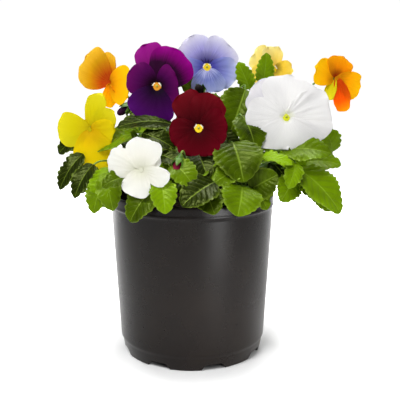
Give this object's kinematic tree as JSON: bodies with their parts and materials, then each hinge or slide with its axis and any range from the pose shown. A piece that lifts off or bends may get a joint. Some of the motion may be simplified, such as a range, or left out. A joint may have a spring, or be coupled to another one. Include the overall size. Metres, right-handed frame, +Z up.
{
  "type": "potted pansy planter",
  "caption": "Round nursery pot of potting mix planted with mixed pansies, whose blooms and scalloped leaves rise and spill over its rim.",
  "frame": {"origin": "on the pot's vertical axis, at the middle of its flat underside, on the surface that it stands on", "axes": "+Z up along the pot's axis; -Y is the front, which the open blooms face; +X is to the right as seen from the front"},
  "size_m": [0.3083, 0.2155, 0.3205],
  "materials": {
    "pot_plastic": "satin black blown polyethylene",
    "potting_mix": "damp, crumbly bark and peat mix",
    "foliage": "satin green leaf",
    "petal_cream": "soft matt petal",
    "petal_white": "soft matt petal",
    "petal_crimson": "velvety petal",
    "petal_yellow": "soft satin petal",
    "petal_purple": "velvety petal",
    "petal_blue": "soft matt petal",
    "petal_pale_yellow": "soft matt petal",
    "petal_orange": "soft satin petal",
    "petal_golden": "soft satin petal"
  },
  "bodies": {
    "root": {"pot": "pot_plastic", "soil": "potting_mix", "plant_front_left": "foliage", "plant_front": "foliage", "plant_front_right": "foliage", "plant_right": "foliage", "plant_back": "foliage", "plant_back_left": "foliage", "plant_left": "foliage", "plant_middle": "foliage", "bloom_cream": "petal_cream", "bloom_crimson": "petal_crimson", "bloom_white": "petal_white", "bloom_yellow": "petal_yellow", "bloom_purple": "petal_purple", "bloom_blue": "petal_blue", "bloom_pale_yellow": "petal_pale_yellow", "bloom_orange": "petal_orange", "bloom_golden": "petal_golden", "bud_left": "petal_purple", "bud_middle": "petal_blue", "bud_front": "petal_crimson"}
  },
  "joints": []
}
